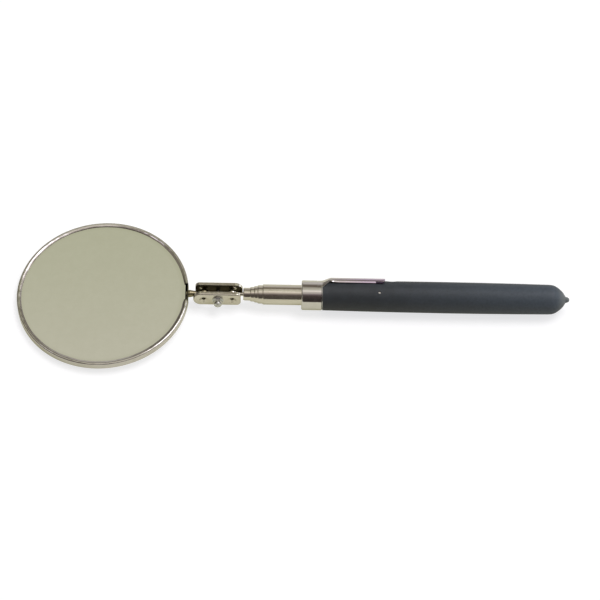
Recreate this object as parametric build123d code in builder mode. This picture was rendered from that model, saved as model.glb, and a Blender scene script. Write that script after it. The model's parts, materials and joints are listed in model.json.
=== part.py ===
from build123d import *

import math
import os

# Telescoping inspection mirror with a double ball joint, collapsed, lying on a table.
# The origin is on the table under the middle of the tool's length. +X runs along the
# handle to the grip's end, the mirror is at -X, and +Z is up. Lengths are millimetres.

# Mirror head: a pressed cup with its lip rolled over the glass.
frame_radius = 41.25
frame_height = 3.9
frame_sheet = 0.5
frame_corner = 0.5
bead_radius = 0.7
lip_radius = 39.1
stud_flat_depth = 0.25
stud_flat_width = 9.0
lip_gate_width = 9.4
lip_gate_depth = 2.7
backing_thickness = 0.7
backing_radius = 40.2
glass_thickness = 2.0
glass_radius = 40.55
glass_flat_radius = 39.6
glass_bevel = 0.3
lip_gap = 0.02

# Ball studs: one ball on the mirror's stud, one on the rod in the last tube.
ball_radius = 2.4
ball_to_frame = 7.2
stud_neck_radius = 1.15
stud_neck_length = 3.4
stud_shoulder_radius = 1.75
rivet_radius = 0.8
rivet_head_radius = 1.15
rivet_head_thickness = 0.4
rod_neck_radius = 1.0
running_gap = 0.05

# Clamp plates: one pressed tray used twice, with a dimple at each ball. The long end of
# the front plate is at the mirror, and the back plate is turned end for end.
ball_spacing = 13.5
plate_sheet = 0.8
plate_height = 8.6
plate_long_margin = 5.0
plate_short_margin = 4.1
plate_long_corner = 3.7
plate_short_corner = 2.0
plate_edge_radius = 0.7
plate_outer = 3.75
plate_depth = 1.85
dimple_radius = 2.1
dimple_depth = 0.65
dimple_hole_radius = 0.85

# Clamp screw, M2 with a pan head, a washer and a hexagon lock nut with a round collar.
screw_radius = 1.0
screw_head_radius = 1.9
screw_head_thickness = 1.3
screw_slot_width = 0.5
screw_slot_depth = 0.6
screw_end = 7.2
washer_radius = 2.7
washer_thickness = 0.5
nut_across_flats = 4.0
nut_thickness = 1.5
collar_radius = 1.85
collar_length = 1.2

# Telescoping tubes, from the fixed one (1) to the thinnest (5). Distances along the
# tool are measured from the ferrule's front face, positive towards the grip's end.
tube_count = 5
base_tube_radius = 4.85
tube_step = 0.45
tube_wall = 0.25
tube_mouths = [-18.6, -21.0, -22.6, -24.5, -27.8]
section_rear = 112.9
rear_lip = 0.6
rear_lip_reach = 0.35
mouth_lip = 1.2
mouth_cone = 0.4
mouth_taper = 0.22
mouth_taper_length = 0.45
bead_height = 0.15
bead_length = 0.6
sleeve_length = 9.0
sleeve_inner_gap = 0.02
sleeve_thickness = 0.14
sleeve_slot = 0.8
tip_plug_length = 9.5
tip_plug_bore_depth = 7.0
rod_ball_to_ferrule = 33.1

# Handle.
ferrule_radius = 7.1
ferrule_length = 9.85
ferrule_wall = 0.5
ferrule_face = 0.6
ferrule_round = 0.7
ferrule_chamfer = 0.3
handle_tube_radius = 6.6
handle_tube_wall = 0.8
handle_tube_rear = 119.4
bush_length = 12.0
plug_spigot_front = 113.0
base_tube_rear = 118.0
grip_front = 10.1
grip_front_radius = 7.08
grip_middle = 68.0
grip_middle_radius = 7.5
grip_shoulder = 118.0
grip_shoulder_radius = 7.12
grip_nub_base = 126.25
grip_nub_radius = 1.5
grip_end = 128.1
nose_end = 125.3
vent_position = 37.2
vent_radius = 0.6
vent_elevation = 71.0

# Pocket clip: a wide curved root in a notch of the ferrule, a ramp, a strip and a toe.
clip_elevation = 52.0
clip_sheet = 0.5
clip_root_front = 7.8
clip_root_sheet = 0.4
clip_root_half_width = 4.4
clip_ramp_end = 13.8
clip_taper_end = 13.0
clip_half_width = 2.3
clip_strip_radius = 8.8
clip_toe_start = 34.6
clip_end = 39.8
clip_toe_radius = 7.48
clip_notch_gap = 0.15
clip_relief_end = 11.7
clip_relief_front_half_width = 4.45
clip_relief_rear_half_width = 3.5

# The grip's widest ring stands on the table, which sets the height of the tool's axis.
axis_height = grip_middle_radius

# The mirror slopes down from its ball until the edge of the frame's flat back meets the
# table: reach * sin(slope) + drop * cos(slope) equals the height of the ball.
edge_reach = ball_to_frame + 2 * frame_radius - frame_corner
edge_drop = frame_height / 2
mirror_slope = math.asin(axis_height / math.hypot(edge_reach, edge_drop))
mirror_slope -= math.atan2(edge_drop, edge_reach)

# The tool's length is centred on the origin.
frame_lead = (ball_to_frame + 2 * frame_radius) * math.cos(mirror_slope)
frame_lead += (frame_height / 2 - bead_radius) * math.sin(mirror_slope)
front_length = rod_ball_to_ferrule + ball_spacing + frame_lead
ferrule_x = (front_length - grip_end) / 2
rod_ball_x = ferrule_x - rod_ball_to_ferrule
mirror_ball_x = rod_ball_x - ball_spacing
screw_x = (rod_ball_x + mirror_ball_x) / 2

# Planes and axes. The tool's section plane has x along the tool and y as the radius.
tool_axis = Axis((ferrule_x, 0, axis_height), (1, 0, 0))
tool_section = Plane(origin=(ferrule_x, 0, axis_height), x_dir=(1, 0, 0), z_dir=(0, -1, 0))
clip_angle = math.radians(clip_elevation)
clip_section = Plane(
    origin=(ferrule_x, 0, axis_height),
    x_dir=(1, 0, 0),
    z_dir=(0, -math.sin(clip_angle), math.cos(clip_angle)),
)
clip_plan = Plane(
    origin=(ferrule_x, 0, axis_height),
    x_dir=(1, 0, 0),
    z_dir=(0, math.cos(clip_angle), math.sin(clip_angle)),
)
vent_angle = math.radians(vent_elevation)
vent_plane = Plane(
    origin=(ferrule_x + vent_position, 0, axis_height),
    x_dir=(1, 0, 0),
    z_dir=(0, -math.cos(vent_angle), math.sin(vent_angle)),
)
stud_direction = Vector(-math.cos(mirror_slope), 0, -math.sin(mirror_slope))
face_direction = Vector(-math.sin(mirror_slope), 0, math.cos(mirror_slope))
mirror_ball = Vector(mirror_ball_x, 0, axis_height)
stud_axis = Axis(mirror_ball, stud_direction)
stud_section = Plane(origin=mirror_ball, x_dir=stud_direction, z_dir=(0, 1, 0))
disc_centre = mirror_ball + stud_direction * (ball_to_frame + frame_radius)
frame_base = disc_centre - face_direction * (frame_height / 2)
mirror_plane = Plane(origin=frame_base, x_dir=stud_direction, z_dir=face_direction)
mirror_section = Plane(origin=frame_base, x_dir=stud_direction, z_dir=(0, 1, 0))
mirror_axis = Axis(frame_base, face_direction)


def save(piece, name):
    """Label a finished piece and write it as its own file."""
    piece.part.label = name
    export_step(piece.part, f"parts/{name}.step")


def turned(*outline):
    """A piece turned about the tool's axis from corner points (distance, radius)."""
    with BuildPart() as lathe:
        with BuildSketch(tool_section):
            with BuildLine():
                Polyline(*outline, close=True)
            make_face()
        revolve(axis=tool_axis)
    return lathe


def tube_radius(number):
    """Outer radius of telescoping tube 1 to 5."""
    return base_tube_radius - tube_step * (number - 1)


def tube_rear(number):
    """Rear end of a sliding tube: each one rests on the rear lip of the one outside it."""
    return section_rear - rear_lip * (number - 2)


def section_tube(number):
    """A sliding tube: swaged mouth, plain wall, two beads for its sleeve, rear lip."""
    outer = tube_radius(number)
    inner = outer - tube_wall
    mouth = tube_mouths[number - 1]
    rear = tube_rear(number)
    bead = outer + bead_height
    if number < tube_count:
        lip_inner = outer - tube_step + running_gap
        lip_start = mouth + mouth_lip
    else:
        lip_inner = rod_neck_radius + tube_wall
        lip_start = mouth + tube_wall
    return turned(
        (mouth, lip_inner),
        (mouth, outer - mouth_taper),
        (mouth + mouth_taper_length, outer),
        (rear - 2 * bead_length - sleeve_length, outer),
        (rear - 2 * bead_length - sleeve_length, bead),
        (rear - bead_length - sleeve_length, bead),
        (rear - bead_length - sleeve_length, outer),
        (rear - bead_length, outer),
        (rear - bead_length, bead),
        (rear, bead),
        (rear, inner - rear_lip_reach),
        (rear - rear_lip, inner - rear_lip_reach),
        (rear - rear_lip, inner),
        (lip_start + mouth_cone, inner),
        (lip_start, lip_inner),
    )


def friction_sleeve(number):
    """The split spring sleeve between a sliding tube's two beads."""
    inner = tube_radius(number) + sleeve_inner_gap
    outer = inner + sleeve_thickness
    rear = tube_rear(number) - bead_length - sleeve_inner_gap
    front = rear - sleeve_length + 2 * sleeve_inner_gap
    ring = turned((front, inner), (front, outer), (rear, outer), (rear, inner))
    with BuildPart() as sleeve:
        add(ring.part)
        with BuildSketch(Plane.XY.offset(axis_height)):
            with Locations((ferrule_x + (front + rear) / 2, 0)):
                Rectangle(2 * sleeve_length, sleeve_slot)
        extrude(amount=2 * outer, mode=Mode.SUBTRACT)
    return sleeve


def clamp_plate(side):
    """One pressed tray of the clamp. Side is -1 for the front and +1 for the back."""
    middle_x = screw_x + side * (plate_long_margin - plate_short_margin) / 2
    length = ball_spacing + plate_long_margin + plate_short_margin
    # The front plate's long end and outer face come first along X and Y, the back one's last.
    first = 0 if side < 0 else -1
    last = -1 - first
    face_plane = Plane(
        origin=(middle_x, side * plate_outer, axis_height), x_dir=(1, 0, 0), z_dir=(0, side, 0)
    )
    rim_plane = face_plane.offset(-plate_depth)
    ball_offsets = [(mirror_ball_x - middle_x, 0), (rod_ball_x - middle_x, 0)]
    with BuildPart() as plate:
        with BuildSketch(face_plane) as outline:
            Rectangle(length, plate_height)
            fillet(outline.vertices().group_by(Axis.X)[first], plate_long_corner)
            fillet(outline.vertices().group_by(Axis.X)[last], plate_short_corner)
        extrude(amount=-plate_depth)
        outer_face = plate.faces().filter_by(Axis.Y).sort_by(Axis.Y)[first]
        fillet(outer_face.edges(), plate_edge_radius)
        with BuildSketch(rim_plane) as hollow:
            Rectangle(length - 2 * plate_sheet, plate_height - 2 * plate_sheet)
            fillet(hollow.vertices().group_by(Axis.X)[first], plate_long_corner - plate_sheet)
            fillet(hollow.vertices().group_by(Axis.X)[last], plate_short_corner - plate_sheet)
        extrude(amount=plate_depth - plate_sheet, mode=Mode.SUBTRACT)
        with BuildSketch(face_plane):
            with Locations(*ball_offsets):
                Circle(dimple_radius)
            with Locations((screw_x - middle_x, 0)):
                Circle(screw_radius + running_gap)
        extrude(amount=-plate_depth, mode=Mode.SUBTRACT)
        inner = plate_outer - plate_sheet
        for ball_x in (mirror_ball_x, rod_ball_x):
            with BuildSketch(Plane.XY.offset(axis_height)):
                with BuildLine():
                    Polyline(
                        (ball_x + dimple_radius, side * plate_outer),
                        (ball_x + dimple_hole_radius, side * (plate_outer - dimple_depth)),
                        (ball_x + dimple_hole_radius, side * (inner - dimple_depth)),
                        (ball_x + dimple_radius, side * inner),
                        close=True,
                    )
                make_face()
            revolve(axis=Axis((ball_x, 0, axis_height), (0, 1, 0)))
    return plate


os.makedirs("parts", exist_ok=True)

# --- Handle -------------------------------------------------------------------

with BuildPart() as cushion_grip:
    with BuildSketch(tool_section):
        with BuildLine():
            Line((grip_front, handle_tube_radius), (grip_front, grip_front_radius))
            TangentArc(
                (grip_middle, grip_middle_radius),
                (grip_front, grip_front_radius),
                tangent=(-1, 0),
            )
            rear_arc = TangentArc(
                (grip_middle, grip_middle_radius),
                (grip_shoulder, grip_shoulder_radius),
                tangent=(1, 0),
            )
            Spline(
                rear_arc @ 1,
                (121.0, 6.6),
                (122.9, 5.45),
                (124.8, 3.75),
                (grip_nub_base, grip_nub_radius),
                tangents=(rear_arc % 1, (0.55, -1)),
            )
            Spline(
                (grip_nub_base, grip_nub_radius),
                (127.2, 1.22),
                (grip_end, 0),
                tangents=((1, -0.15), (0, -1)),
            )
            Line((grip_end, 0), (nose_end, 0))
            Spline(
                (nose_end, 0),
                (123.9, 3.3),
                (handle_tube_rear, handle_tube_radius),
                tangents=((0, 1), (-1, 0)),
            )
            Line((handle_tube_rear, handle_tube_radius), (grip_front, handle_tube_radius))
        make_face()
    revolve(axis=tool_axis)
    with BuildSketch(clip_plan):
        with BuildLine():
            Polyline(
                (grip_front, -clip_relief_front_half_width),
                (clip_relief_end, -clip_relief_rear_half_width),
                (clip_relief_end, clip_relief_rear_half_width),
                (grip_front, clip_relief_front_half_width),
                close=True,
            )
        make_face()
    extrude(amount=2 * handle_tube_radius, mode=Mode.SUBTRACT)
    with BuildSketch(vent_plane):
        Circle(vent_radius)
    extrude(amount=2 * grip_middle_radius, mode=Mode.SUBTRACT)
save(cushion_grip, "cushion_grip")

handle_tube_inner = handle_tube_radius - handle_tube_wall
handle_tube = turned(
    (ferrule_face, handle_tube_inner),
    (ferrule_face, handle_tube_radius),
    (handle_tube_rear, handle_tube_radius),
    (handle_tube_rear, handle_tube_inner),
)
save(handle_tube, "handle_tube")

front_bush = turned(
    (ferrule_face, base_tube_radius),
    (ferrule_face, handle_tube_inner),
    (ferrule_face + bush_length, handle_tube_inner),
    (ferrule_face + bush_length, base_tube_radius),
)
save(front_bush, "front_bush")

rear_bush = turned(
    (base_tube_rear - bush_length, base_tube_radius),
    (base_tube_rear - bush_length, handle_tube_inner),
    (base_tube_rear, handle_tube_inner),
    (base_tube_rear, base_tube_radius),
)
save(rear_bush, "rear_bush")

with BuildPart() as tail_plug:
    with BuildSketch(tool_section):
        with BuildLine():
            Polyline(
                (nose_end, 0),
                (plug_spigot_front, 0),
                (plug_spigot_front, base_tube_radius - tube_wall),
                (base_tube_rear, base_tube_radius - tube_wall),
                (base_tube_rear, handle_tube_inner),
                (handle_tube_rear, handle_tube_inner),
                (handle_tube_rear, handle_tube_radius),
            )
            Spline(
                (handle_tube_rear, handle_tube_radius),
                (123.9, 3.3),
                (nose_end, 0),
                tangents=((1, 0), (0, -1)),
            )
        make_face()
    revolve(axis=tool_axis)
save(tail_plug, "tail_plug")

cup = turned(
    (0, base_tube_radius),
    (0, ferrule_radius),
    (ferrule_length, ferrule_radius),
    (ferrule_length, handle_tube_radius),
    (ferrule_face, handle_tube_radius),
    (ferrule_face, base_tube_radius),
)
with BuildPart() as ferrule:
    add(cup.part)
    rims = ferrule.edges().filter_by(GeomType.CIRCLE).filter_by(
        lambda edge: abs(edge.radius - ferrule_radius) < 0.01
    )
    fillet(rims.sort_by(Axis.X)[0], ferrule_round)
    rims = ferrule.edges().filter_by(GeomType.CIRCLE).filter_by(
        lambda edge: abs(edge.radius - ferrule_radius) < 0.01
    )
    chamfer(rims.sort_by(Axis.X)[-1], ferrule_chamfer)
    with BuildSketch(clip_plan):
        with Locations((ferrule_length, 0)):
            Rectangle(
                2 * (ferrule_length - clip_root_front + clip_notch_gap),
                2 * (clip_root_half_width + clip_notch_gap),
            )
    extrude(amount=2 * ferrule_radius, mode=Mode.SUBTRACT)
save(ferrule, "ferrule")

with BuildPart() as pocket_clip:
    with BuildSketch(clip_section):
        with BuildLine():
            root_outer = handle_tube_radius + clip_notch_gap / 2 + clip_root_sheet
            strip_inner = clip_strip_radius - clip_sheet
            Polyline(
                (clip_root_front, root_outer - clip_root_sheet),
                (clip_root_front, root_outer),
                (ferrule_length + clip_notch_gap, root_outer),
                (clip_ramp_end, clip_strip_radius),
                (clip_end - clip_sheet, clip_strip_radius),
                (clip_end, strip_inner),
                (clip_end, strip_inner - clip_sheet / 2),
                (clip_end - 1.4, clip_toe_radius),
                (clip_toe_start + 1.6, clip_toe_radius),
                (clip_toe_start, strip_inner),
                (clip_ramp_end + clip_notch_gap, strip_inner),
                (ferrule_length + 2 * clip_notch_gap, root_outer - clip_root_sheet),
                close=True,
            )
        make_face()
    revolve(axis=tool_axis)
    with BuildSketch(clip_plan) as plan:
        with BuildLine():
            Polyline(
                (clip_root_front, -clip_root_half_width),
                (ferrule_length, -clip_root_half_width),
                (clip_taper_end, -clip_half_width),
                (clip_end, -clip_half_width),
                (clip_end, clip_half_width),
                (clip_taper_end, clip_half_width),
                (ferrule_length, clip_root_half_width),
                (clip_root_front, clip_root_half_width),
                close=True,
            )
        make_face()
        fillet(plan.vertices().group_by(Axis.X)[-1], clip_half_width * 0.6)
    extrude(amount=2 * clip_strip_radius, mode=Mode.INTERSECT)
save(pocket_clip, "pocket_clip")

# --- Telescoping tubes ----------------------------------------------------------

base_inner = base_tube_radius - tube_wall
base_lip = tube_radius(2) + running_gap
base_mouth = tube_mouths[0]
base_tube = turned(
    (base_mouth, base_lip),
    (base_mouth, base_tube_radius - mouth_taper),
    (base_mouth + mouth_taper_length, base_tube_radius),
    (base_tube_rear, base_tube_radius),
    (base_tube_rear, base_inner),
    (base_mouth + mouth_lip + mouth_cone, base_inner),
    (base_mouth + mouth_lip, base_lip),
)
save(base_tube, "base_tube")

for number in range(2, tube_count + 1):
    save(section_tube(number), f"section_{number}_tube")
    save(friction_sleeve(number), f"section_{number}_sleeve")

tip_front = tube_mouths[-1] + tube_wall
tip_inner = tube_radius(tube_count) - tube_wall
bore_end = tip_front + tip_plug_bore_depth
tip_plug = turned(
    (tip_front, rod_neck_radius),
    (tip_front, rod_neck_radius + tube_wall),
    (tip_front + mouth_cone, tip_inner),
    (tip_front + tip_plug_length, tip_inner),
    (tip_front + tip_plug_length, 0),
    (bore_end, 0),
    (bore_end, rod_neck_radius),
)
save(tip_plug, "tip_plug")

with BuildPart() as ball_rod:
    with Locations((rod_ball_x, 0, axis_height)):
        Sphere(ball_radius)
    with BuildSketch(Plane.YZ.offset(rod_ball_x)):
        with Locations((0, axis_height)):
            Circle(rod_neck_radius)
    extrude(amount=rod_ball_to_ferrule + bore_end)
save(ball_rod, "ball_rod")

# --- Clamp ------------------------------------------------------------------------

save(clamp_plate(-1), "front_plate")
save(clamp_plate(1), "back_plate")

head_plane = Plane(origin=(screw_x, plate_outer, axis_height), x_dir=(1, 0, 0), z_dir=(0, 1, 0))
with BuildPart() as clamp_screw:
    with BuildSketch(head_plane):
        Circle(screw_head_radius)
    extrude(amount=screw_head_thickness)
    fillet(clamp_screw.faces().sort_by(Axis.Y)[-1].edges(), screw_head_thickness * 0.4)
    with BuildSketch(head_plane.offset(screw_head_thickness)):
        Rectangle(2 * screw_head_radius, screw_slot_width)
    extrude(amount=-screw_slot_depth, mode=Mode.SUBTRACT)
    with BuildSketch(head_plane):
        Circle(screw_radius)
    extrude(amount=-(plate_outer + screw_end))
    chamfer(clamp_screw.faces().sort_by(Axis.Y)[0].edges(), screw_radius * 0.3)
save(clamp_screw, "clamp_screw")

nut_side = Plane(origin=(screw_x, -plate_outer, axis_height), x_dir=(1, 0, 0), z_dir=(0, -1, 0))
with BuildPart() as clamp_washer:
    with BuildSketch(nut_side):
        Circle(washer_radius)
        Circle(screw_radius + running_gap, mode=Mode.SUBTRACT)
    extrude(amount=washer_thickness)
save(clamp_washer, "clamp_washer")

with BuildPart() as clamp_nut:
    with BuildSketch(nut_side.offset(washer_thickness)):
        RegularPolygon(radius=nut_across_flats / 2, side_count=6, major_radius=False)
    extrude(amount=nut_thickness)
    chamfer(clamp_nut.faces().sort_by(Axis.Y)[0].edges(), nut_thickness * 0.15)
    with BuildSketch(nut_side.offset(washer_thickness + nut_thickness)):
        Circle(collar_radius)
    extrude(amount=collar_length)
    fillet(clamp_nut.faces().sort_by(Axis.Y)[0].edges(), collar_length * 0.4)
    with BuildSketch(nut_side):
        Circle(screw_radius + running_gap)
    extrude(amount=washer_thickness + nut_thickness + collar_length, mode=Mode.SUBTRACT)
save(clamp_nut, "clamp_nut")

# --- Mirror head --------------------------------------------------------------------

flat_distance = ball_to_frame + stud_flat_depth
wall_inner = flat_distance + frame_sheet
with BuildPart() as mirror_stud:
    with BuildSketch(stud_section):
        with BuildLine():
            Polyline(
                (0, 0),
                (0, stud_neck_radius),
                (stud_neck_length, stud_neck_radius),
                (ball_to_frame - running_gap - frame_sheet, stud_shoulder_radius),
                (flat_distance - running_gap, stud_shoulder_radius),
                (flat_distance - running_gap, rivet_radius),
                (wall_inner + running_gap, rivet_radius),
                (wall_inner + running_gap, rivet_head_radius),
                (wall_inner + running_gap + rivet_head_thickness, rivet_head_radius),
                (wall_inner + running_gap + rivet_head_thickness, 0),
                close=True,
            )
        make_face()
    revolve(axis=stud_axis)
    with Locations(mirror_ball):
        Sphere(ball_radius)
save(mirror_stud, "mirror_stud")

glass_base = frame_sheet + backing_thickness
glass_top = glass_base + glass_thickness
bead_centre = frame_radius - bead_radius
bead_spring = frame_height - bead_radius
pad_width = stud_flat_width + 2 * frame_sheet
pad_height = bead_spring - frame_sheet
with BuildPart() as mirror_frame:
    with BuildSketch(mirror_section):
        with BuildLine():
            Line((0, 0), (frame_radius - frame_corner, 0))
            Line((frame_radius - frame_corner, 0), (frame_radius, frame_corner))
            Line((frame_radius, frame_corner), (frame_radius, bead_spring))
            outer_bead = RadiusArc(
                (frame_radius, bead_spring), (bead_centre, frame_height), -bead_radius
            )
            slope = TangentArc(
                outer_bead @ 1, (lip_radius + 0.25, glass_top + 0.38), tangent=outer_bead % 1
            )
            ThreePointArc(
                slope @ 1,
                (lip_radius, glass_top + 0.18),
                (lip_radius + 0.2, glass_top + lip_gap),
            )
            Line(
                (lip_radius + 0.2, glass_top + lip_gap),
                (bead_centre - 0.2, frame_height - frame_sheet),
            )
            Line(
                (bead_centre - 0.2, frame_height - frame_sheet),
                (frame_radius - frame_sheet, bead_spring),
            )
            Line(
                (frame_radius - frame_sheet, bead_spring), (frame_radius - frame_sheet, frame_sheet)
            )
            Line((frame_radius - frame_sheet, frame_sheet), (0, frame_sheet))
            Line((0, frame_sheet), (0, 0))
        make_face()
    revolve(axis=mirror_axis)
    with BuildSketch(mirror_plane.offset(frame_sheet)):
        with Locations((frame_sheet - frame_radius, 0)):
            Rectangle(2 * stud_flat_depth, pad_width)
    extrude(amount=pad_height)
    with BuildSketch(mirror_plane.offset(-frame_sheet)):
        with Locations((-frame_radius, 0)):
            Rectangle(2 * stud_flat_depth, 2 * stud_flat_width)
    extrude(amount=frame_height + 2 * frame_sheet, mode=Mode.SUBTRACT)
    with BuildSketch(mirror_plane.offset(bead_spring)):
        with Locations((-frame_radius, 0)):
            Rectangle(2 * lip_gate_depth, lip_gate_width)
    extrude(amount=frame_height, mode=Mode.SUBTRACT)
    with BuildSketch(Plane(stud_section.origin, x_dir=(0, 1, 0), z_dir=stud_direction)):
        Circle(rivet_radius + running_gap)
    extrude(amount=wall_inner + frame_sheet, mode=Mode.SUBTRACT)
save(mirror_frame, "mirror_frame")

with BuildPart() as mirror_backing:
    with BuildSketch(mirror_plane.offset(frame_sheet)):
        Circle(backing_radius)
        with Locations((-glass_flat_radius - backing_radius, 0)):
            Rectangle(2 * backing_radius, 2 * backing_radius, mode=Mode.SUBTRACT)
    extrude(amount=backing_thickness)
save(mirror_backing, "mirror_backing")

with BuildPart() as mirror_glass:
    with BuildSketch(mirror_plane.offset(glass_base)):
        Circle(glass_radius)
        with Locations((-glass_flat_radius - glass_radius, 0)):
            Rectangle(2 * glass_radius, 2 * glass_radius, mode=Mode.SUBTRACT)
    extrude(amount=glass_thickness)
    chamfer(mirror_glass.edges().filter_by(GeomType.CIRCLE), glass_bevel)
save(mirror_glass, "mirror_glass")
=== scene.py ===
import json
import math
import random

import bmesh
import bpy
from mathutils import Matrix, Vector


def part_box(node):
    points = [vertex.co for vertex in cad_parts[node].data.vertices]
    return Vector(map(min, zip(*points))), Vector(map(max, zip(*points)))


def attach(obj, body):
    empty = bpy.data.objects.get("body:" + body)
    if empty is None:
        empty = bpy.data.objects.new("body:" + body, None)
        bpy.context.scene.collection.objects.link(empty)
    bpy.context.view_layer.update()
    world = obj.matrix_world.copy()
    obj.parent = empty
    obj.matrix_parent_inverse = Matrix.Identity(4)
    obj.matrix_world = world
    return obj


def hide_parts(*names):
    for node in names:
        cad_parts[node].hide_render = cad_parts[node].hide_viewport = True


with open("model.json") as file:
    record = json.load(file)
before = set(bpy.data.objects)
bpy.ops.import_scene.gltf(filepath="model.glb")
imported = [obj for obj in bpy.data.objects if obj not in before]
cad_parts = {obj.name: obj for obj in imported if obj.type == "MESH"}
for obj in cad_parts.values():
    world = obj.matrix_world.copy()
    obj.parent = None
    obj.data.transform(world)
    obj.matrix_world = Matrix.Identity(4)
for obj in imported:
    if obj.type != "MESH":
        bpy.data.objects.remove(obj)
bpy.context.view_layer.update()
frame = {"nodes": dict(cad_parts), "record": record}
nodes = frame["nodes"]
scene = bpy.context.scene

MM = 0.001

# The stud's way from its ball to the mirror, the way that the glass faces, and how far it
# is in millimetres from the ball to the mirror's cup.
joints = {joint["name"]: joint for joint in frame["record"]["behaviour"]["joints"]}
stud_way = Vector(joints["mirror_turn"]["axis"])
if stud_way.x > 0:
    stud_way = -stud_way
face_way = Vector((stud_way.z, 0, -stud_way.x))
ball = Vector(joints["mirror_turn"]["pos_m"])
ball_to_cup = 7.2

# --- Node trees --------------------------------------------------------------------


class Tree:
    """A node tree, with one short call for each kind of node. Lengths are in metres."""

    def __init__(self, owner):
        owner.use_nodes = True
        self.tree = owner.node_tree
        self.tree.nodes.clear()

    def add(self, kind, *values, **settings):
        """A node with its settings made and its first inputs linked or set."""
        node = self.tree.nodes.new(kind)
        for key, value in settings.items():
            setattr(node, key, value)
        for value, socket in zip(values, node.inputs):
            self.wire(value, socket)
        return node

    def wire(self, value, socket):
        if isinstance(value, bpy.types.NodeSocket):
            self.tree.links.new(value, socket)
        elif socket.type == "RGBA" and len(value) == 3:
            socket.default_value = (*value, 1)
        else:
            socket.default_value = value

    def spread(self, value, low, high, to_low=0.0, to_high=1.0):
        return self.add("ShaderNodeMapRange", value, low, high, to_low, to_high).outputs[0]

    def maths(self, operation, a, b=0.0):
        return self.add("ShaderNodeMath", a, b, operation=operation).outputs[0]

    def vectors(self, operation, a, b):
        """The vector, or else the number, that comes of two vectors."""
        node = self.add("ShaderNodeVectorMath", a, b, operation=operation)
        return node.outputs["Vector" if operation == "SUBTRACT" else "Value"]

    def mix(self, amount, a, b, blend="MIX"):
        node = self.add("ShaderNodeMix", amount, data_type="RGBA", blend_type=blend)
        self.wire(a, node.inputs[6])
        self.wire(b, node.inputs[7])
        return node.outputs[2]

    def ramp(self, value, *stops, interpolation="LINEAR"):
        node = self.add("ShaderNodeValToRGB", value)
        ramp = node.color_ramp
        ramp.interpolation = interpolation
        while len(ramp.elements) < len(stops):
            ramp.elements.new(0.5)
        for element, (position, colour) in zip(ramp.elements, stops):
            element.position = position
            element.color = (*colour, 1)
        return node.outputs[0]


class Graph(Tree):
    """A material of one principled shader. Its patterns lie in object coordinates."""

    def __init__(self, name, **sockets):
        self.material = bpy.data.materials.new(name)
        super().__init__(self.material)
        output = self.add("ShaderNodeOutputMaterial")
        self.shader = self.add("ShaderNodeBsdfPrincipled")
        self.tree.links.new(self.shader.outputs[0], output.inputs[0])
        self.set(**sockets)
        self.place = self.add("ShaderNodeTexCoord").outputs["Object"]

    def set(self, **sockets):
        """Links or sets the shader's sockets and gives the material."""
        for socket, value in sockets.items():
            self.wire(value, self.shader.inputs[socket.replace("_", " ")])
        return self.material

    def stretched(self, scale, turn=(0, 0, 0)):
        """The coordinates, scaled and turned."""
        node = self.add("ShaderNodeMapping", self.place)
        node.inputs["Rotation"].default_value = turn
        node.inputs["Scale"].default_value = scale
        return node.outputs[0]

    def noise(self, scale, detail=3.0, rough=0.55, vector=None, distortion=0.0):
        node = self.add("ShaderNodeTexNoise", vector or self.place)
        node.inputs["Scale"].default_value = scale
        node.inputs["Detail"].default_value = detail
        node.inputs["Roughness"].default_value = rough
        node.inputs["Distortion"].default_value = distortion
        return node.outputs[0]

    def cells(self, scale):
        """Distance from the middle of the nearest cell."""
        node = self.add("ShaderNodeTexVoronoi", self.place)
        node.inputs["Scale"].default_value = scale
        return node.outputs["Distance"]

    def bump(self, height, distance, strength=1.0, normal=None):
        """The normal over a height of 0 to 1, on top of another bump's normal if given."""
        node = self.add("ShaderNodeBump")
        self.wire(height, node.inputs["Height"])
        node.inputs["Distance"].default_value = distance
        node.inputs["Strength"].default_value = strength
        if normal:
            self.wire(normal, node.inputs["Normal"])
        return node.outputs[0]

    def reach(self, centre):
        """Distance from a point."""
        return self.vectors("DISTANCE", self.place, centre)

    def lift(self, centre, way):
        """Distance from a point in one direction."""
        return self.vectors("DOT_PRODUCT", self.vectors("SUBTRACT", self.place, centre), way)

    def hollow(self, centre):
        """1 on the faces that look towards the centre, 0 on the others."""
        normal = self.add("ShaderNodeTexCoord").outputs["Normal"]
        return self.spread(self.lift(centre, normal), -0.0004, -0.0012)

    def along(self, start, end):
        """0 to 1 between two places along the tool."""
        node = self.add("ShaderNodeSeparateXYZ", self.place)
        return self.spread(node.outputs["X"], start, end)


def middle(*names):
    """The middle of the box round some nodes, in metres."""
    corners = [Vector(corner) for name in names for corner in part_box(name)]
    low, high = (Vector(pick(c[i] for c in corners) for i in range(3)) for pick in (min, max))
    return (low + high) / 2


# --- Materials ---------------------------------------------------------------------


def plated(name, colour, dull, rough, rough_spread, line_scale, line_depth, hollow=None):
    """Bright plate: fine lines, faint clouds, smudges that dull it and, given a hollow, painted
    shade on the faces that look into it.
    """
    g = Graph(name, Metallic=1.0)
    clouds = g.noise(90, 4, 0.6)
    smudges = g.spread(g.noise(160, 5, 0.65, distortion=0.6), 0.48, 0.74)
    lines = g.noise(1, 3, 0.6, vector=g.stretched(line_scale))
    tone = g.mix(g.spread(clouds, 0.35, 0.7), colour, dull)
    polish = g.spread(lines, 0.3, 0.75, rough - rough_spread, rough + rough_spread)
    polish = g.maths("ADD", polish, g.maths("MULTIPLY", smudges, rough_spread))
    if hollow:
        # Painted shade: faces that look into the hollow, such as the clamp plates' inner faces,
        # are darkened to a dark brown as if in shadow, and made a little rougher.
        darkening = g.maths("MULTIPLY", g.hollow(hollow), g.spread(clouds, 0.2, 0.5, 0.82, 1.0))
        tone = g.mix(darkening, tone, (0.085, 0.068, 0.042))
        polish = g.maths("ADD", polish, g.maths("MULTIPLY", darkening, 0.25))
    return g.set(Base_Color=tone, Roughness=polish, Normal=g.bump(lines, line_depth))


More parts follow.
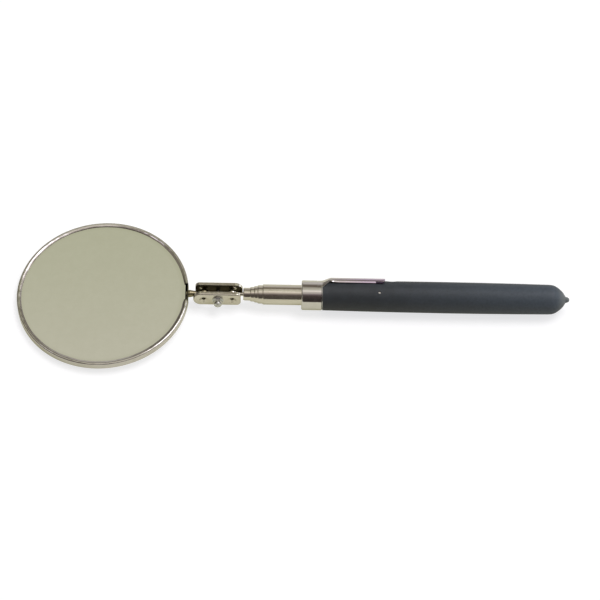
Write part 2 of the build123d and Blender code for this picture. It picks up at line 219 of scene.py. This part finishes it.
def clip_finish():
    """Nickel that turns lilac with tarnish towards the clip's free end."""
    g = Graph("clip_plate", Metallic=1.0)
    low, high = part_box("pocket_clip")
    clouds = g.spread(g.noise(140, 4, 0.6), 0.35, 0.7)
    lines = g.noise(1, 3, 0.6, vector=g.stretched((120, 2500, 2500)))
    clean = g.mix(clouds, (0.79, 0.77, 0.77), (0.74, 0.72, 0.72))
    stained = g.mix(clouds, (0.78, 0.67, 0.88), (0.71, 0.60, 0.81))
    return g.set(
        Base_Color=g.mix(g.along(low[0] + 0.004, high[0] - 0.008), clean, stained),
        Roughness=g.spread(lines, 0.3, 0.75, 0.07, 0.15),
        Normal=g.bump(lines, 5e-7),
    )


def frame_finish():
    """Chrome: hand-rolled and scratched, with nicks, a grimy seam and a dark rivet."""
    g = Graph("frame_plate", Metallic=1.0)
    glass = middle("mirror_glass")
    clouds = g.noise(110, 4, 0.6)
    scratches = g.noise(1, 4, 0.7, vector=g.stretched((260, 2600, 1200), turn=(0, 0, 0.5)))
    nicks = g.spread(g.cells(1500), 0.10, 0.05)
    nicks = g.maths("MULTIPLY", nicks, g.spread(g.noise(60, 2), 0.52, 0.60))
    from_middle = g.reach(glass)
    on_rim = g.spread(from_middle, 0.0384, 0.0396)
    rolling = g.maths("MULTIPLY", g.noise(170, 2, 0.5, distortion=0.4), on_rim)
    worn = g.spread(scratches, 0.3, 0.7, 0.07, 0.13)
    worn = g.maths("ADD", worn, g.maths("MULTIPLY", g.spread(on_rim, 0, 1, 1, 0), 0.14))
    seam = g.spread(from_middle, 0.03960, 0.03920)
    darkening = g.maths("MULTIPLY", seam, g.spread(clouds, 0.3, 0.6, 0.3, 0.7))
    over_glass = g.spread(g.lift(glass, face_way), 0.0003, 0.0008)
    darkening = g.maths("MULTIPLY", darkening, over_glass)
    tone = g.mix(g.spread(clouds, 0.35, 0.7), (0.745, 0.72, 0.715), (0.68, 0.65, 0.63))
    tone = g.mix(darkening, tone, (0.16, 0.13, 0.10))
    rivet = g.spread(g.reach(ball + stud_way * ball_to_cup * MM), 0.0060, 0.0046)
    rivet = g.maths("MULTIPLY", rivet, g.spread(clouds, 0.2, 0.5, 0.8, 0.95))
    tone = g.mix(rivet, tone, (0.05, 0.042, 0.028))
    return g.set(
        Base_Color=g.mix(nicks, tone, (0.40, 0.37, 0.33)),
        Roughness=g.maths("ADD", worn, g.maths("MULTIPLY", darkening, 0.3)),
        Normal=g.bump(rolling, 2.5e-5, normal=g.bump(scratches, 6e-7)),
    )


def glass_finish():
    """The silvered glass, faintly smeared and specked, with a duller rim."""
    g = Graph("silvered_glass", Metallic=1.0)
    smears = g.spread(g.noise(28, 4, 0.6, distortion=1.2), 0.5, 0.8)
    mottle = g.spread(g.noise(240, 4, 0.6), 0.35, 0.65)
    rim = g.spread(g.reach(middle("mirror_glass")), 0.0372, 0.0392)
    specks = g.spread(g.cells(420), 0.06, 0.03)
    specks = g.maths("MULTIPLY", specks, g.spread(g.noise(70, 2), 0.5, 0.62))
    tone = g.mix(g.maths("ADD", smears, mottle), (0.855, 0.835, 0.845), (0.835, 0.815, 0.820))
    polish = g.spread(smears, 0, 1, 0.015, 0.05)
    return g.set(
        Base_Color=g.mix(g.maths("MULTIPLY", rim, 0.45), tone, (0.70, 0.69, 0.64)),
        Roughness=g.maths("ADD", polish, g.maths("MULTIPLY", specks, 0.2)),
    )


def grip_finish():
    """Dipped vinyl: speckled, paler towards the tail as painted sheen, and paler near the drip
    nub.
    """
    g = Graph("grip_vinyl", IOR=1.5)
    low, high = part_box("cushion_grip")
    peel = g.noise(2600, 3, 0.5)
    mottle = g.noise(140, 5, 0.6)
    scuff = g.spread(g.noise(1, 4, 0.7, vector=g.stretched((260, 900, 900))), 0.62, 0.8)
    speckle = g.noise(850, 3, 0.65)
    # Painted sheen: the vinyl turns paler and bluer towards the tail, standing in for light
    # falling on that end.
    tail_sheen = g.along(low[0] + 0.02, high[0] - 0.01)
    tail_sheen = g.maths("MULTIPLY", tail_sheen, g.spread(speckle, 0.35, 0.65, 0.72, 1.12))
    nub = g.maths("MULTIPLY", g.along(high[0] - 0.0062, high[0] - 0.0026), 0.6)
    nub = g.maths("MULTIPLY", nub, g.spread(mottle, 0.3, 0.6, 0.5, 1.0))
    tone = g.ramp(mottle, (0.3, (0.023, 0.0275, 0.033)), (0.7, (0.031, 0.038, 0.047)))
    tone = g.mix(g.spread(speckle, 0.3, 0.5, 0.35, 0.0), tone, (0.016, 0.020, 0.024))
    tone = g.mix(tail_sheen, tone, (0.058, 0.075, 0.098))
    tone = g.mix(nub, tone, (0.19, 0.21, 0.21))
    return g.set(
        Base_Color=g.mix(g.maths("MULTIPLY", scuff, 0.30), tone, (0.095, 0.108, 0.118)),
        Roughness=g.spread(peel, 0.3, 0.7, 0.46, 0.60),
        Normal=g.bump(peel, 3e-5, 0.6, normal=g.bump(g.noise(75, 2), 3e-4)),
    )


def plug_finish():
    g = Graph("plug_plastic", IOR=1.47)
    grain = g.noise(2200, 2)
    return g.set(
        Base_Color=g.ramp(
            g.noise(160), (0.3, (0.016, 0.016, 0.017)), (0.7, (0.024, 0.024, 0.026))
        ),
        Roughness=g.spread(grain, 0.3, 0.7, 0.4, 0.5),
        Normal=g.bump(grain, 1e-5),
    )


def felt_finish():
    g = Graph("felt", Roughness=0.95)
    fibre = g.noise(6000, 3, 0.7, distortion=1.5)
    return g.set(
        Base_Color=g.ramp(fibre, (0.3, (0.16, 0.13, 0.09)), (0.7, (0.30, 0.26, 0.20))),
        Normal=g.bump(fibre, 6e-5),
    )


# The plates by name: colour, dull colour, roughness and its spread, scale and depth of
# the lines, and the middle of a hollow whose inner faces get painted shade.
along_tube = (60, 5200, 5200)
plates = {}
for name, *values in (
    ("tube_plate", (0.80, 0.77, 0.69), (0.74, 0.70, 0.62), 0.15, 0.04, along_tube, 3e-7),
    ("ferrule_plate", (0.79, 0.775, 0.77), (0.74, 0.72, 0.70), 0.08, 0.03, (900, 240, 240), 1e-7),
    ("pressed_plate", (0.80, 0.77, 0.70), (0.68, 0.64, 0.55), 0.20, 0.06, (700, 700, 700), 8e-6,
     middle("front_plate", "back_plate")),
    ("zinc_plate", (0.76, 0.77, 0.78), (0.62, 0.62, 0.60), 0.20, 0.06, (2500, 2500, 2500), 4e-6),
    # Near-black lilac for the clip's toe: painted shade on what is the clip's own nickel.
    ("clip_toe", (0.085, 0.060, 0.100), (0.050, 0.035, 0.060), 0.30, 0.06, (900, 900, 900), 2e-6),
    ("turned_brass", (0.78, 0.60, 0.30), (0.62, 0.46, 0.22), 0.28, 0.06, (5200, 400, 400), 1e-6),
    ("drawn_steel", (0.74, 0.74, 0.74), (0.60, 0.60, 0.59), 0.22, 0.06, along_tube, 1e-6),
    ("stud_steel", (0.30, 0.265, 0.165), (0.17, 0.145, 0.085), 0.22, 0.06, (3800, 900, 900), 2e-6),
):
    plates[name] = plated(name, *values)

finishes = {
    "grip_vinyl": grip_finish(),
    "tube_steel": plates["drawn_steel"],
    "bright_plate": plates["tube_plate"],
    "plate_nickel": plates["pressed_plate"],
    "fastener_steel": plates["zinc_plate"],
    "frame_chrome": frame_finish(),
    "clip_spring": clip_finish(),
    "brass": plates["turned_brass"],
    "plug_plastic": plug_finish(),
    "backing_pad": felt_finish(),
    "mirror_glass": glass_finish(),
}
slot_of = {part["node"]: part["material_slot"] for part in frame["record"]["subparts"]}
for name, node in nodes.items():
    node.data.materials.clear()
    node.data.materials.append(finishes[slot_of[name]])
nodes["ferrule"].data.materials[0] = plates["ferrule_plate"]
nodes["mirror_stud"].data.materials[0] = plates["stud_steel"]

# --- Pieces that stand for plain CAD nodes -----------------------------------------

sharp_from = math.radians(38)


def skin(name, rings, material, body, node, loop=False, middles=None):
    """A mesh through rings of points. With loop, the last ring joins the first. The rings
    are closed, or they are open and two middles close them."""
    count = len(rings[0])
    points = [point for ring in rings for point in ring]
    steps = len(rings) if loop else len(rings) - 1
    around = count if middles is None else count - 1
    faces = []
    for i in range(steps):
        here, there = i * count, (i + 1) % len(rings) * count
        for j in range(around):
            k = (j + 1) % count
            faces.append((here + j, here + k, there + k, there + j))
        if middles:
            faces.append((len(points), here, there))
            faces.append((len(points) + 1, there + count - 1, here + count - 1))
    if middles:
        points += middles
    if not loop:
        faces.append(tuple(reversed(range(count))))
        faces.append(tuple(range((len(rings) - 1) * count, len(rings) * count)))
    mesh = bpy.data.meshes.new(name)
    mesh.from_pydata(points, [], faces)
    work = bmesh.new()
    work.from_mesh(mesh)
    bmesh.ops.recalc_face_normals(work, faces=work.faces)
    work.to_mesh(mesh)
    work.free()
    mesh.shade_smooth()
    mesh.set_sharp_from_angle(angle=sharp_from)
    mesh.materials.append(material)
    piece = bpy.data.objects.new(name, mesh)
    scene.collection.objects.link(piece)
    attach(piece, body)
    if node:
        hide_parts(node)


def ease(x, start, end):
    """0 to 1 between two values, smoothly."""
    share = min(max((x - start) / (end - start), 0), 1)
    return share * share * (3 - 2 * share)


def ripple(seed, orders, size):
    """A smooth seeded wave over one turn."""
    draw = random.Random(seed)
    waves = [(order, draw.uniform(0, 2 * math.pi), draw.uniform(0.4, 1)) for order in orders]
    return lambda turn: size * sum(w * math.sin(n * turn + shift) for n, shift, w in waves)


# The mirror's cup, spun and rolled by hand. Sizes are in millimetres from here on. The
# edge has a small flat where the stud is riveted on, and the lip is cut away there.
cup_radius, cup_height, cup_sheet, bead = 41.25, 3.9, 0.5, 0.7
lip_radius, flat_depth, gate_half_width = 39.1, 0.25, 4.7
cup_steps = 420
cup_base = ball + stud_way * (ball_to_cup + cup_radius) * MM - face_way * cup_height / 2 * MM
spring = cup_height - bead
inner_wall = cup_radius - cup_sheet
flat_out, flat_in = cup_radius - flat_depth, inner_wall - flat_depth
no_flat = 99.0  # farther out than any point


def cup_point(radius, height, turn, limit=no_flat):
    """A point of the cup, no farther than the limit towards the stud's ball."""
    across = max(radius * math.cos(turn), -limit)
    side = radius * math.sin(turn)
    return cup_base + MM * (stud_way * across + Vector((0, side, 0)) + face_way * height)


# Radius, height and limit, over the back, up the outside, down the inside and over the floor.
cup_profile = [(r, 0, no_flat) for r in (12, 24, 36, 40.4, cup_radius - 0.5)]
cup_profile += [(cup_radius, h, flat_out) for h in (0.5, 0.9, 1.6, 2.4, spring)]
cup_profile += [(inner_wall, h, flat_in) for h in (spring, 2.2, 1.2, cup_sheet)]
cup_profile += [(r, cup_sheet, no_flat) for r in (39.5, 24, 12)]
cup_turns = [2 * math.pi * i / cup_steps for i in range(cup_steps)]
skin(
    "mirror_cup",
    [[cup_point(r, h, turn, limit) for r, h, limit in cup_profile] for turn in cup_turns],
    finishes["frame_chrome"], "mirror", "mirror_frame", loop=True,
    middles=[cup_point(0, 0, 0), cup_point(0, cup_sheet, 0)],
)

# The lip's profile: the outside of the bead, a hollow curve down to the glass, the rolled
# edge and the underside.
arc_steps, bead_inset, edge_inset, edge_height, hollowing = 8, 0.2, 0.25, 3.58, 0.65
crest = cup_radius - bead
bead_middle = inner_wall - bead_inset
lip_profile = []
for i in range(arc_steps + 1):
    lean = math.pi / 2 * i / arc_steps
    lip_profile.append((bead_middle + bead * math.cos(lean), spring + bead * math.sin(lean)))
for i in range(1, arc_steps + 1):
    t = i / arc_steps
    bend = (1 - t) ** 2 * crest + 2 * t * (1 - t) * (crest - hollowing)
    lip_profile.append((
        bend + t * t * (lip_radius + edge_inset),
        (1 - t * t) * cup_height + t * t * edge_height,
    ))
lip_profile += [(39.14, 3.47), (lip_radius, 3.36), (39.16, 3.27), (39.3, 3.22)]
lip_profile += [(40.35, 3.4), (inner_wall, spring)]
lip_profile = [(min(r, cup_radius), h) for r, h in lip_profile]

# The lip is waved by hand work, and curls up and outwards at both ends of the gate.
edge_wave = ripple(11, range(4, 34, 3), 0.016)
crest_wave = ripple(12, range(9, 70, 5), 0.010)
gate_turn = math.pi - math.asin(gate_half_width / cup_radius)
curl_reach, curl_out, curl_up = 1.1, 0.30, 0.16
lip_rings = []
for i in range(cup_steps + 1):
    turn = gate_turn * (2 * i / cup_steps - 1)
    to_gate = (gate_turn - abs(turn)) * cup_radius
    curl = math.exp(-((to_gate / curl_reach) ** 2))
    ring = []
    for r, h in lip_profile:
        inward = ease(r, crest + bead_inset, lip_radius)
        roll = ease(h, spring, cup_height) * crest_wave(turn)
        ring.append(cup_point(
            r + inward * (edge_wave(turn) + curl_out * curl),
            h + inward * (curl_up * curl) + roll,
            turn,
        ))
    lip_rings.append(ring)
skin("mirror_lip", lip_rings, finishes["frame_chrome"], "mirror", None)

# The pocket clip: a sheet that is round like the ferrule at its root and crowned more
# tightly along its strip, with a pressed toe under its free end. Its path is the distance
# behind the ferrule's front and the height of its outer face over the tool's axis.
clip_path = [(7.8, 7.075), (10.0, 7.075), (13.8, 8.8), (39.8, 8.8)]
root_crown, strip_crown = 7.075, 3.3
root_half_width, strip_half_width = 4.4, 2.3
taper_start, taper_length = 9.85, 3.15
root_sheet, strip_sheet = 0.40, 0.50
crown_change, sheet_change = (10.2, 15.5), (9.8, 11.5)
hem_depth, hem_start, hem_end = 0.40, (12.5, 19.0), (38.6, 39.6)
clip_stations = ((7.8, 0.1, 80), (15.8, 0.4, 56), (38.2, 0.08, 21))  # start, step and count
clip_corner, toe_corner = (38.42, 1.38), (38.3, 1.5)  # start and radius
bend_reach, bend_step, slope_step, sheet_steps, edge_thinning = 4, 0.16, 0.05, 28, 0.55
tool_middle = middle("handle_tube")
ferrule_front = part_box("ferrule")[0][0]
clip_lean = math.radians(52)
clip_out = Vector((0, math.cos(clip_lean), math.sin(clip_lean)))
clip_side = Vector((0, -math.sin(clip_lean), math.cos(clip_lean)))


def clip_point(along, side, out):
    place = Vector((ferrule_front + along * MM, 0, tool_middle.z))
    return place + MM * (clip_side * side + clip_out * out)


def path_height(x):
    """The path's height, with its bends eased by a mean over a short stretch."""
    total = 0
    for step in range(-bend_reach, bend_reach + 1):
        at = min(max(x + step * bend_step, clip_path[0][0]), clip_path[-1][0])
        for (x0, h0), (x1, h1) in zip(clip_path, clip_path[1:]):
            if x0 <= at <= x1:
                total += h0 + (h1 - h0) * (at - x0) / (x1 - x0)
                break
    return total / (2 * bend_reach + 1)


def sheet_ring(x, half_width, crown, sheet, sink=0.0, hem=0.0):
    """The closed section of a crowned sheet at one distance along the tool."""
    slope = (path_height(x + slope_step) - path_height(x - slope_step)) / (2 * slope_step)
    back = slope / math.hypot(1, slope)
    outer, inner = [], []
    for i in range(sheet_steps + 1):
        across = math.sin(math.pi * (i / sheet_steps - 0.5))
        side = half_width * across
        drop = crown - math.sqrt(crown * crown - side * side) + hem * abs(across) ** 5
        thin = sheet * (1 - edge_thinning * across**8)
        out = path_height(x) - drop - sink
        outer.append(clip_point(x, side, out))
        inner.append(clip_point(x + back * thin, side, out - thin / math.hypot(1, slope)))
    return outer + inner[::-1]


def corner(x, start, radius):
    """What a round corner takes off the half width."""
    return radius - math.sqrt(max(radius**2 - max(x - start, 0) ** 2, 0))


clip_rings = []
for start, step, count in clip_stations:
    for i in range(count):
        x = start + step * i
        taper = min(max((x - taper_start) / taper_length, 0), 1)
        half_width = root_half_width + (strip_half_width - root_half_width) * taper
        half_width -= corner(x, *clip_corner)
        crown = root_crown + (strip_crown - root_crown) * ease(x, *crown_change)
        sheet = root_sheet + (strip_sheet - root_sheet) * ease(x, *sheet_change)
        hem = hem_depth * ease(x, *hem_start) * (1 - ease(x, *hem_end))
        clip_rings.append(sheet_ring(x, half_width, crown, sheet, hem=hem))
skin(
    "pocket_clip_sheet", clip_rings,
    finishes["clip_spring"], "clip", "pocket_clip",
)

toe_start, toe_length, toe_steps = 35.0, 4.6, 40
toe_half_width, toe_widening, toe_wide = 1.7, 0.8, (35.0, 35.7)
toe_sheet, toe_swell, toe_rise, toe_fall = 0.25, 0.65, (34.8, 36.6), (38.6, 39.9)
toe_sink = 0.12
toe_rings = []
for i in range(toe_steps + 1):
    x = toe_start + toe_length * i / toe_steps
    half_width = toe_half_width + toe_widening * ease(x, *toe_wide) - corner(x, *toe_corner)
    sheet = toe_sheet + toe_swell * ease(x, *toe_rise) * (1 - ease(x, *toe_fall))
    toe_rings.append(sheet_ring(x, half_width, strip_crown, sheet, sink=toe_sink))
# The toe's plate is darkened as painted shade under the clip's free end.
skin("pocket_clip_toe", toe_rings, plates["clip_toe"], "clip", None)

# --- Floor, light and camera -------------------------------------------------------

bpy.ops.mesh.primitive_plane_add(size=8, location=(0, 0, -0.0001))
floor = bpy.context.object
floor.name = "floor"
g = Graph("pale_floor", Roughness=0.9, Emission_Strength=1)
ray = g.add("ShaderNodeLightPath").outputs
reflected = g.mix(ray["Is Glossy Ray"], (0.34, 0.34, 0.36), (0.29, 0.285, 0.18))
floor.data.materials.append(
    g.set(
        Base_Color=g.ramp(g.noise(3, 2), (0.3, (0.36, 0.36, 0.36)), (0.7, (0.38, 0.38, 0.38))),
        Emission_Color=g.mix(ray["Is Camera Ray"], reflected, (0.70, 0.705, 0.72)),
    )
)

# The studio, as colours by the angle in degrees up from the front horizon and over the
# top. Bands face the middle of the tool and a plainer panel stands to either side.
front_stops = [
    (0, (0.16, 0.145, 0.125)),
    (5, (0.055, 0.045, 0.040)),
    (14, (0.034, 0.028, 0.026)),
    (40, (0.050, 0.038, 0.036)),
    (53, (0.085, 0.065, 0.063)),
    (62, (0.22, 0.18, 0.18)),
    (70, (0.48, 0.43, 0.40)),
    (80, (0.60, 0.56, 0.50)),
    (88, (1.00, 0.93, 0.84)),
    (96, (0.60, 0.57, 0.49)),
]
back_stops = [
    (108, (0.50, 0.48, 0.40)),
    (119, (0.32, 0.295, 0.24)),
    (127, (0.17, 0.145, 0.115)),
    (135, (0.13, 0.105, 0.085)),
    (143, (0.25, 0.22, 0.19)),
    (158, (0.56, 0.53, 0.50)),
]
panel_stops = [
    (0, (0.30, 0.285, 0.25)),
    (20, (0.27, 0.255, 0.22)),
    (48, (0.27, 0.255, 0.23)),
    (66, (0.46, 0.43, 0.38)),
    (88, (1.00, 0.93, 0.84)),
    (96, (0.60, 0.57, 0.49)),
    (110, (0.60, 0.58, 0.48)),
    (122.6, (0.600, 0.590, 0.470)),
    (126.8, (0.490, 0.505, 0.350)),
    (131, (0.30, 0.28, 0.21)),
    (136, (0.25, 0.23, 0.185)),
    (146, (0.27, 0.25, 0.22)),
    (160, (0.54, 0.52, 0.48)),
]
# Where each lamp is seen, its spread in radians and its colour.
lamps = [
    ((0.37, 0.05, 0.93), 0.22, (3.0, 2.9, 3.2)),
    ((0.45, 0.26, 0.85), 0.24, (3.0, 2.9, 3.2)),
    ((0.21, 0.28, 0.94), 0.15, (2.6, 2.5, 2.8)),
    ((-0.50, 0.10, 0.86), 0.12, (1.3, 1.25, 1.40)),
    ((0.92, 0.34, 0.14), 0.42, (1.2, 1.25, 1.45)),
]

world = bpy.data.worlds.new("studio")
scene.world = world
studio = Tree(world)
facing = studio.add("ShaderNodeTexCoord").outputs["Generated"]
east, north, high = studio.add("ShaderNodeSeparateXYZ", facing).outputs
front = studio.maths("MULTIPLY", north, -1.0)
over = studio.spread(studio.maths("ARCTAN2", high, front), 0.0, math.pi)
bands, panel = (
    studio.ramp(over, *((angle / 180, colour) for angle, colour in stops), interpolation="EASE")
    for stops in (front_stops + back_stops, panel_stops)
)
beside = studio.spread(studio.maths("ABSOLUTE", east), 0.045, 0.085)
lit = studio.mix(beside, bands, panel)
# The side beyond the mirror is darker.
lit = studio.mix(studio.spread(east, -0.18, -0.36), lit, (0.38, 0.36, 0.35), "MULTIPLY")
for way, width, colour in lamps:
    nearness = studio.vectors("DOT_PRODUCT", facing, Vector(way).normalized())
    glow = studio.spread(nearness, math.cos(width), math.cos(width / 2))
    lit = studio.mix(glow, lit, colour, "ADD")
room = studio.add("ShaderNodeBackground", lit).outputs[0]
backdrop = studio.add("ShaderNodeBackground", (0.97, 0.97, 0.97)).outputs[0]
seen = studio.add("ShaderNodeLightPath").outputs["Is Camera Ray"]
choice = studio.add("ShaderNodeMixShader", seen, room, backdrop).outputs[0]
studio.add("ShaderNodeOutputWorld", choice)

soft_box = bpy.data.lights.new("soft_box", "AREA")
soft_box.shape = "RECTANGLE"
soft_box.size, soft_box.size_y = 1.1, 0.9
soft_box.energy = 11
light = bpy.data.objects.new("soft_box", soft_box)
scene.collection.objects.link(light)
light.location = (0.45, 0.35, 1.7)
light.rotation_euler = (-light.location).to_track_quat("-Z", "Y").to_euler()
light.visible_glossy = False

# The camera, at the angles and the scale that were fitted to the photograph.
azimuth, elevation, roll = (math.radians(v) for v in (-0.54, 55.46, 1.49))
distance, mm_per_pixel, image_width, sensor_width = 2.0, 0.4780, 600, 36
tool_height, shift_right, shift_down = 0.0075, 0.003372, 0.002410
forward = Vector((
    -math.sin(azimuth) * math.cos(elevation),
    math.cos(azimuth) * math.cos(elevation),
    -math.sin(elevation),
))
level_right = Vector((math.cos(azimuth), math.sin(azimuth), 0))
level_up = level_right.cross(forward)
right = math.cos(roll) * level_right + math.sin(roll) * level_up
up = -math.sin(roll) * level_right + math.cos(roll) * level_up
target = Vector((0, 0, tool_height)) + right * shift_right - up * shift_down
camera_data = bpy.data.cameras.new("camera")
camera_data.sensor_width = sensor_width
camera_data.lens = distance / MM / mm_per_pixel * sensor_width / image_width
camera_data.clip_start, camera_data.clip_end = 0.05, 50
camera = bpy.data.objects.new("camera", camera_data)
scene.collection.objects.link(camera)
camera.matrix_world = Matrix.LocRotScale(
    target - forward * distance, Matrix((right, up, -forward)).transposed().to_quaternion(), None
)
scene.camera = camera
scene.view_settings.view_transform = "Standard"
